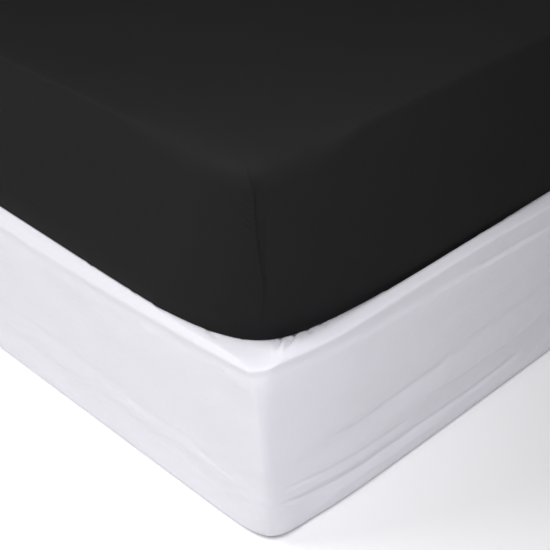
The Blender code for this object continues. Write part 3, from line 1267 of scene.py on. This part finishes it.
@dataclass(frozen=True, kw_only=True)
class BaseCover(Cloth):
    """The white cover: over the base's padded top, round its rolled edge, down its face and under.

    Attributes:
        sheet_half: Half the sheet's width and length: the cover's cradle follows the sheet's lower edge.
        sheet_bottom: The height of the sheet under the mattress.
    """

    sheet_half: Array
    sheet_bottom: float
    near: Spacing = Spacing(((0, 1.8), (110, 2.0), (170, 7.5), (560, 8.5), (1000, 24)))
    far: Spacing = Spacing(((0, 4), (15, 9), (60, 30), (1000, 64)))
    flat: Row = (2.277, 2.865)
    flat_area: float = 5.68

    CRADLE = (
        CradlePoint("centre", 560, 0.3, 0, 3),
        CradlePoint("under the mattress", 40, 0.3, 0, 3),
        CradlePoint("under the rim", 24, 0.5, 0.3, 2),
        CradlePoint("beside the rim", 17, 0.6, 0.7, 3),
        CradlePoint("where they part", 13, 0.8, 1, 5),
    )
    FACE = (
        Level("crest", 8.5, 18, 0, 20, 10, 26, 5, (
            337.4, 344.4, 345.2, 347.4, 349, 341.4, 336, 332, 336, 342, 334, 331, 326.4, 329.3, 333, 337.2)),
        Level("shoulder", 3.6, 5, 0.3, 13, 10, 20, 5, (
            336.8, 342.6, 342.8, 345, 346.7, 339.5, 334, 325, 334, 341, 332, 322, 317.9, 324.8, 329, 334.3)),
        Level("lip", 0.3, 0.3, 0.3, 9, 10, 14, 5, (
            333.6, 338.9, 339, 340.7, 343, 336, 331, 318, 331, 338, 328, 314, 310.4, 318.3, 323.5, 330.2)),
        Level("groove", 0.9, 1.0, 1.7, 8, 10, 12, 6, (
            324.5, 328.5, 324.8, 320.4, 313, 303, 314, 303, 314, 310, 312, 299, 296.5, 305.3, 311.1, 318.6)),
        Level("below it", 0.3, 0.3, 0.3, 7, 6, 6, 7, (
            310.3, 313.5, 309.5, 305, 296.8, 285, 297, 287, 297, 293, 295, 283, 276.8, 287.7, 294.2, 302.7)),
        Level("upper face", 0, 0, 0, 4, 3, 3, 7, (
            231, 231, 229, 227, 233, 237, 233, 218, 225, 229, 223, 213, 211, 217, 223, 230)),
        Level("above fold", 0, 0, 0.4, 4, 3, 3, 8, (
            159, 161, 163, 160, 181, 184, 175, 151, 159, 171, 161, 147, 145, 138, 131, 152)),
        Level("long fold", 0, 0, 2.2, 5, 3, 3, 12, (
            139, 143, 147, 142, 162, 166, 156, 133, 141, 153, 143, 129, 129, 119, 110, 131)),
        Level("mid swell", 0, 0, -1, 6, 3, 3, 15, (
            105, 108, 111, 107, 120, 119, 114, 99, 109, 115, 111, 97, 99, 97, 93, 101)),
        Level("hem fold", 0, 0, 2.8, 8, 4, 4, 12, (
            75, 73, 67, 57, 60, 63, 71, 65, 73, 63, 73, 67, 71, 73, 65, 73)),
        Level("low swell", 1, 1, -1, 12, 6, 6, 5, (
            34, 35, 36, 27, 23, 24, 32, 26, 32, 24, 32, 27, 28, 27, 26, 32)),
        Level("roll, upper", 4, 4, 0, 17, 10, 8, 4, (
            12, 14, 18, 12, 9, 9, 11, 9, 11, 9, 11, 9, 9, 9, 9, 11)),
        Level("roll, lower", 10, 10, 0, 21, 14, 10, 3, (2, 3, 6, 3, *(2,) * 12)),
        Level("floor", 17, 17, 0, 22, 14, 10, 2),
        Level("hem", 120, 120, 0, 22, 14, 10, 0),
    )
    LOOSE = (0.2, 0.27, 0.5, 0.9, 1, 0.9, 0.3, 0.8, 0.3, 0.9, 0.3, 0.6, 0.35, 0.3, 0.25, 0.21)  # at PLACES
    LEAN = (4, 26)  # how far the foot's face leans in at the near corner, at the floor and at the lip, in mm
    LEAN_REACH = 200 * MM  # along the foot

    FOLDS = (
        # the foot: below the groove, down the face, then inwards at its bottom edge by the corner
        Fold(Side.FOOT, ((430, 311), (518, 303), (580, 302), (700, 294)), -2.0, 4.0, 60),
        Fold(Side.FOOT, ((130, 258), (196, 259), (249, 254), (340, 252)), -0.7, 8.0, 60),
        Fold(Side.FOOT, ((330, 215), (480, 228), (650, 228)), 0.7, 8.0, 90),
        Fold(Side.FOOT, ((90, 165), (190, 152), (290, 153), (430, 151)), -1.4, 7.0, 60),
        Fold(Side.FOOT, ((340, 118), (440, 107), (577, 105), (690, 119)), 1.3, 4.2, 50),
        Fold(Side.FOOT, ((14, 112), (70, 105), (140, 95), (200, 90), (320, 84)), -2.0, 4.5, 30),
        Fold(Side.FOOT, ((60, 91), (140, 79), (210, 74), (320, 71)), 1.4, 5.5, 50),
        Fold(Side.FOOT, ((14, 88), (100, 69), (200, 58), (330, 54), (460, 50), (620, 54)), -3.4, 4.8, 30),
        Fold(Side.FOOT, ((90, 50), (180, 41), (300, 37), (430, 34)), 2.0, 7.5, 60),
        Fold(Side.FOOT, ((72, -60), (74, 30), (80, 95)), -4.5, 40, 60, Lies.UPRIGHT),
        # the near long side
        Fold(Side.LEFT, ((80, 108), (129, 108), (200, 120), (263, 114), (420, 118)), -0.6, 6.0, 60),
        Fold(Side.LEFT, ((110, 62), (145, 64), (212, 75), (268, 73), (380, 80)), -0.35, 6.0, 50),
        Fold(Side.LEFT, ((250, 135), (284, 143), (394, 125), (507, 129), (680, 134)), -0.5, 7.0, 80),
        Fold(Side.LEFT, ((420, 96), (560, 84), (760, 92)), 0.6, 8.0, 90),
        # the other sides
        Fold(Side.RIGHT, ((300, 128), (620, 146), (980, 138), (1400, 151)), -1.6, 9.0, 140),
        Fold(Side.RIGHT, ((180, 78), (480, 66), (900, 70)), -2.0, 6.0, 120),
        Fold(Side.RIGHT, ((900, 88), (1300, 74), (1700, 82)), 1.5, 9.0, 140),
        Fold(Side.HEAD, ((150, 146), (520, 152), (900, 138)), -1.6, 8.0, 110),
        Fold(Side.HEAD, ((420, 66), (760, 62), (1150, 70)), -2.0, 6.0, 110),
        Fold(Side.LEFT, ((900, 138), (1260, 122), (1650, 130)), -1.4, 9.0, 140),
        Fold(Side.LEFT, ((820, 60), (1200, 70), (1600, 62)), -1.8, 6.0, 120),
    )
    PULLS = (
        PullCrease((86, 47), (50, 19), -4.0, 2.2),
        PullCrease((109, 41), (58, 8), -5.0, 2.4),
        PullCrease((82, 33), (44, 5), 2.0, 3.0),
        PullCrease((61, 37), (36, 8), 1.2, 3.0),
        PullCrease((101, 26), (74, 6), 1.0, 3.0),
        PullCrease((131, 40), (112, 8), -2.0, 4.0),
        PullCrease((150, 30), (143, 6), -1.4, 5.0),
        PullCrease((27, 137), (21, 104), -1.8, 4.5),
        PullCrease((46, 84), (39, 60), -1.2, 2.6),
        PullCrease((38, 92), (32, 66), -1.0, 2.6),
    )
    PULL_SHARES = (1.0, 0.55, 0.6, 0.5)  # how strongly they show at each corner
    SLACK = (Waves(0.35, 0.50, 0.16, 16, 21), Waves(0.14, 0.14, 0.045, 26, 22))
    SLACK_TOP, SLACK_FOOT, SLACK_FADE = 325 * MM, 4 * MM, 30 * MM  # none on the lip, the floor or the top

    def cradle_rings(self, columns: Columns) -> Array:
        """Work out the sections under the mattress: the sheet's rim less a little space.

        Args:
            columns: The grid's columns.

        Returns:
            The sections, as sections by columns by three.
        """
        inset, space, share = (column(self.CRADLE, name) for name in ("inset", "space", "share"))
        draw, end_tail, side_tail = (np.full(len(inset), size) * MM for size in (RIM[-1].draw, *RIM_TAIL))
        under = Columns(self.sheet_half, columns.corner, columns.reach, columns.place, columns.way)
        plan, _ = under.outlines(draw, end_tail, side_tail)
        plan = set_in(plan, self.sheet_half, inset[:, None, None] * MM)
        rim = smooth_through(inset, column(RIM, "inset"), column(RIM, "height"))
        height = self.sheet_bottom + (rim - space) * MM
        height = height[:, None] + share[:, None] * edge_rise(plan, under)
        return np.concatenate([plan, height[..., None]], axis=2)

    def face_rings(self, columns: Columns) -> Array:
        """Work out the sections of the lip, the face and the hem.

        Each is the cover's outline, set in by its insets and, where the cover is slack, by its fold. At the
        near corner the foot's face leans in, and that fades along the foot as a square.

        Args:
            columns: The grid's columns.

        Returns:
            The sections, as sections by columns by three.
        """
        names = ("side", "end", "fold", "draw", "end_tail", "side_tail", "heights")
        levels = {name: column(self.FACE, name) * MM for name in names}
        plan, along = columns.outlines(levels["draw"], levels["end_tail"], levels["side_tail"])
        slack = levels["fold"][:, None] * round_the_bed(columns.place, self.LOOSE)
        insets = np.stack([levels["side"], levels["end"]], axis=1)[:, None] + slack[..., None]
        plan = set_in(plan, self.half, insets)
        low_and_high = (0, self.sheet_bottom)
        lean = np.interp(levels["heights"].mean(axis=1), low_and_high, np.array(self.LEAN) * MM)
        fade = np.maximum(1 - along / self.LEAN_REACH, 0) ** 2
        plan[..., 1] += (columns.corner == NEAR_CORNER) * lean[:, None] * fade
        height = round_the_bed(columns.place, levels["heights"])
        return np.concatenate([plan, height[..., None]], axis=2)

    def skin(self, columns: Columns) -> tuple[Array, Array, int]:
        """Work out the cover without its folds and creases: its sections, skinned smoothly.

        Args:
            columns: The grid's columns.

        Returns:
            The points, each row's way down the cloth and the crest's row.
        """
        rings = np.concatenate([self.cradle_rings(columns), self.face_rings(columns)])
        rows = [section.rows for section in (*self.CRADLE, *self.FACE)]
        steps = np.linalg.norm(np.diff(rings, axis=0), axis=2).mean(axis=1)
        stations = np.concatenate([[0], np.cumsum(steps)])
        down = rows_between(stations, rows[:-1])
        return smooth_through(down, stations, rings), down, sum(rows[: len(self.CRADLE)])

    def lift(self, points: Array, down: Array, columns: Columns) -> Array:
        """Move the skin by the face's folds, the lip's creases and the crinkles of the slack face.

        Args:
            points: The skin.
            down: Each row's way down the cloth.
            columns: The grid's columns.

        Returns:
            The move of each point, in metres.
        """
        height = points[..., 2]
        slack = sum(waves.lift(columns, down) for waves in self.SLACK)
        slack = slack * ease((self.SLACK_TOP - height) / self.SLACK_FADE)
        slack = slack * ease((height - self.SLACK_FOOT) / self.SLACK_FADE) * MM
        return side_folds(self.FOLDS, points, columns) + self.pull_lift(points, columns) + slack

    def pull_lift(self, points: Array, columns: Columns) -> Array:
        """Crease the lip at each corner, where the mattress leaves it bare.

        Args:
            points: The skin.
            columns: The grid's columns.

        Returns:
            The move of each point, in metres.
        """
        away = points[..., :2] - CORNERS[columns.corner] * self.sheet_half
        ahead = (away * AHEAD[columns.corner]).sum(axis=2) / MM
        behind = (away * INWARDS[columns.corner]).sum(axis=2) / MM
        share = np.array(self.PULL_SHARES)[columns.corner] * (points[..., 2] > self.sheet_bottom)
        return sum(pull.lift(ahead, behind) for pull in self.PULLS) * share

    def build(self, material: bpy.types.Material) -> bpy.types.Object:
        """Make the cover, hang it under the root body and hide the imported cover.

        Args:
            material: The cover's material.

        Returns:
            The finished piece.
        """
        piece = self.make("base_cover_cloth", material)
        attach(piece, "root")
        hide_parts("base_cover")
        return piece


# What fills the cloths -----------------------------------------------------------------------------------


@dataclass(frozen=True)
class Filling:
    """A plain body that fills a cloth: the mattress in its sheet, or the base in its cover.

    Attributes:
        name: The piece's name.
        node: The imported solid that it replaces.
        cloth: The cloth that it fills.
        footing: The height of its underside.
        ease_in: How far it lies inside the cloth's outer face.
        crown: The greatest height of its top.
        rim_drop: How much lower its top is at its edges, where the cloth is rolled.
        rim: How far in from the cloth the top is lowest, and from where it is level.
        underside: The size of its underside's outline, as a share of that of the cloth's hem.
        spacing: Its columns' spacing about each corner.
    """

    name: str
    node: str
    cloth: Cloth
    footing: float
    ease_in: float
    crown: float
    rim_drop: float = 0.0
    rim: Row = (20 * MM, 60 * MM)
    underside: float = 0.98
    spacing: Spacing = Spacing(((0, 8), (100, 30), (1000, 60)))

    def build(self, finish: ClothFinish, material: bpy.types.Material) -> bpy.types.Object:
        """Make the body: the cloth's own skin moved in along its normals, cut off at its top, closed below.

        The cut is level in the middle and is eased down towards the edges.

        Args:
            finish: Its finish. Not used.
            material: The finish's material.

        Returns:
            The finished piece.
        """
        columns = Columns.spread(self.cloth.half, self.spacing, self.spacing)
        skin, _, edge = self.cloth.skin(columns)
        points = skin - normals_of(skin) * self.ease_in
        inset = (self.cloth.half - np.abs(points[..., :2])).min(axis=2)
        level = ease((inset - self.rim[0]) / (self.rim[1] - self.rim[0]))
        points[..., 2] = np.minimum(points[..., 2], self.crown - self.rim_drop * (1 - level))
        underside = points[-1] * (self.underside, self.underside, 0) + (0, 0, self.footing)
        grid = np.concatenate([points, underside[None]])
        piece = cloth_mesh(self.name, grid, columns, edge, closed=True)
        piece.data.materials.append(material)
        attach(piece, "root")
        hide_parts(self.node)
        return piece


# The studio ----------------------------------------------------------------------------------------------


@dataclass(frozen=True)
class Lamp:
    """A soft square lamp: its name, place, the point it faces, its width, its power and its colour."""

    name: str
    place: Row
    aim: Row
    width: float
    power: float
    colour: Row = (1.0, 1.0, 1.0)

    def hang(self) -> bpy.types.Object:
        """Hang the lamp in the scene.

        Returns:
            The lamp.
        """
        light = bpy.data.lights.new(self.name, "AREA")
        light.shape = "SQUARE"
        light.size = self.width
        light.energy = self.power
        light.color = self.colour
        lamp = bpy.data.objects.new(self.name, light)
        bpy.context.scene.collection.objects.link(lamp)
        lamp.location = self.place
        lamp.rotation_euler = (Vector(self.aim) - Vector(self.place)).to_track_quat("-Z", "Y").to_euler()
        return lamp


@dataclass(frozen=True)
class Studio:
    """A pale floor, a pale sky, soft lamps and the camera.

    Attributes:
        lamps: The lamps.
        floor: The floor's finish.
        floor_width: The floor's width.
        floor_lines: How many lines its grid has each way.
        sky: The sky's strength.
        camera_place: Where the camera stands.
        yaw: How far the camera is turned from +Y towards +X, in degrees.
        pitch: How far it looks down.
        roll: How far it is turned about its axis.
        focal_pixels: Its focal length, in pixels of the picture.
        frame_pixels: The picture's width in pixels.
        sensor: The sensor's width, in mm.
    """

    lamps: tuple[Lamp, ...]
    floor: FloorFinish = FloorFinish()
    floor_width: float = 14.0
    floor_lines: int = 9
    sky: float = 0.1
    camera_place: Row = (-1.5635, -1.9335, 1.368)
    yaw: float = 43.2
    pitch: float = 33.2
    roll: float = -1.71
    focal_pixels: float = 1211
    frame_pixels: float = 550
    sensor: float = 36

    def lay_floor(self) -> bpy.types.Object:
        """Lay the floor: a grid whose points are the products of even steps across and along.

        Returns:
            The floor.
        """
        steps = np.linspace(-self.floor_width / 2, self.floor_width / 2, self.floor_lines)
        across, along = np.meshgrid(steps, steps)
        points = np.stack([across.ravel(), along.ravel(), np.zeros(across.size)], axis=1)
        index = np.arange(across.size).reshape(across.shape)
        faces = np.stack([index[:-1, :-1], index[:-1, 1:], index[1:, 1:], index[1:, :-1]], axis=-1)
        mesh = bpy.data.meshes.new("floor")
        mesh.from_pydata(points.tolist(), [], faces.reshape(-1, 4).tolist())
        mesh.materials.append(self.floor.material())
        floor = bpy.data.objects.new("floor", mesh)
        bpy.context.scene.collection.objects.link(floor)
        return floor

    def light_sky(self) -> None:
        """Light the sky evenly."""
        world = bpy.data.worlds.new("Studio")
        world.use_nodes = True
        background = world.node_tree.nodes["Background"]
        background.inputs["Color"].default_value = (1, 1, 1, 1)
        background.inputs["Strength"].default_value = self.sky
        bpy.context.scene.world = world

    def stand_camera(self) -> bpy.types.Object:
        """Stand the camera where it looks along its yaw and pitch, turned about that axis by its roll.

        Returns:
            The camera.
        """
        yaw, pitch, roll = (math.radians(angle) for angle in (self.yaw, self.pitch, self.roll))
        level = math.cos(pitch)
        forward = Vector((level * math.sin(yaw), level * math.cos(yaw), -math.sin(pitch)))
        right = Vector((math.cos(yaw), -math.sin(yaw), 0))
        up = right.cross(forward)
        turned = math.cos(roll) * right + math.sin(roll) * up
        upright = math.cos(roll) * up - math.sin(roll) * right
        lens = bpy.data.cameras.new("Camera")
        lens.sensor_fit = "HORIZONTAL"
        lens.sensor_width = self.sensor
        lens.lens = self.focal_pixels / self.frame_pixels * self.sensor
        camera = bpy.data.objects.new("Camera", lens)
        bpy.context.scene.collection.objects.link(camera)
        matrix = Matrix((turned, upright, -forward)).transposed().to_4x4()
        matrix.translation = self.camera_place
        camera.matrix_world = matrix
        bpy.context.scene.camera = camera
        return camera

    def build(self) -> None:
        """Set up the studio."""
        self.lay_floor()
        self.light_sky()
        for lamp in self.lamps:
            lamp.hang()
        self.stand_camera()
        bpy.context.scene.view_settings.view_transform = "Standard"


LAMPS = (
    Lamp("Side lamp", (-2.6, 1.2, 2.4), (-0.6, 0.0, 0.4), 1.8, 56),
    Lamp("Corner lamp", (-1.5, -1.6, 2.2), (-0.65, -0.9, 0.35), 0.8, 26),
    Lamp("Foot lamp", (-0.92, -1.75, 1.4), (-0.62, -0.95, 0.3), 0.6, 6.2, (0.985, 0.975, 1.05)),
)


# Putting it together -------------------------------------------------------------------------------------


def main() -> None:
    """Build the bed and its studio."""
    logging.basicConfig(level=logging.INFO, format="%(message)s")
    weave, handling = make_weave_group(), make_handling_group()
    low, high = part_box("fitted_sheet")
    sheet = FittedSheet(half=SHEET_HALF, bottom=low.z, top=high.z)
    cover = BaseCover(half=COVER_HALF, sheet_half=SHEET_HALF, sheet_bottom=low.z)
    mattress = Filling(
        "mattress_body", "mattress", sheet, footing=low.z + 0.2 * MM, ease_in=5.0 * MM, crown=high.z
    )
    base = Filling(
        "base_body", "bed_base", cover,
        footing=9.0 * MM, ease_in=9.0 * MM, crown=low.z - 3.0 * MM, rim_drop=30.0 * MM,
    )
    pieces = [
        sheet.build(BLACK_COTTON.material(weave, handling)),
        cover.build(WHITE_COTTON.material(weave, handling)),
        mattress.build(TICKING, TICKING.material(weave, handling)),
        base.build(BASE_CLOTH, BASE_CLOTH.material(weave, handling)),
    ]
    for piece in pieces:
        LOG.info("%s: %d faces", piece.name, len(piece.data.polygons))
    Studio(LAMPS).build()


if __name__ == "__main__":
    main()
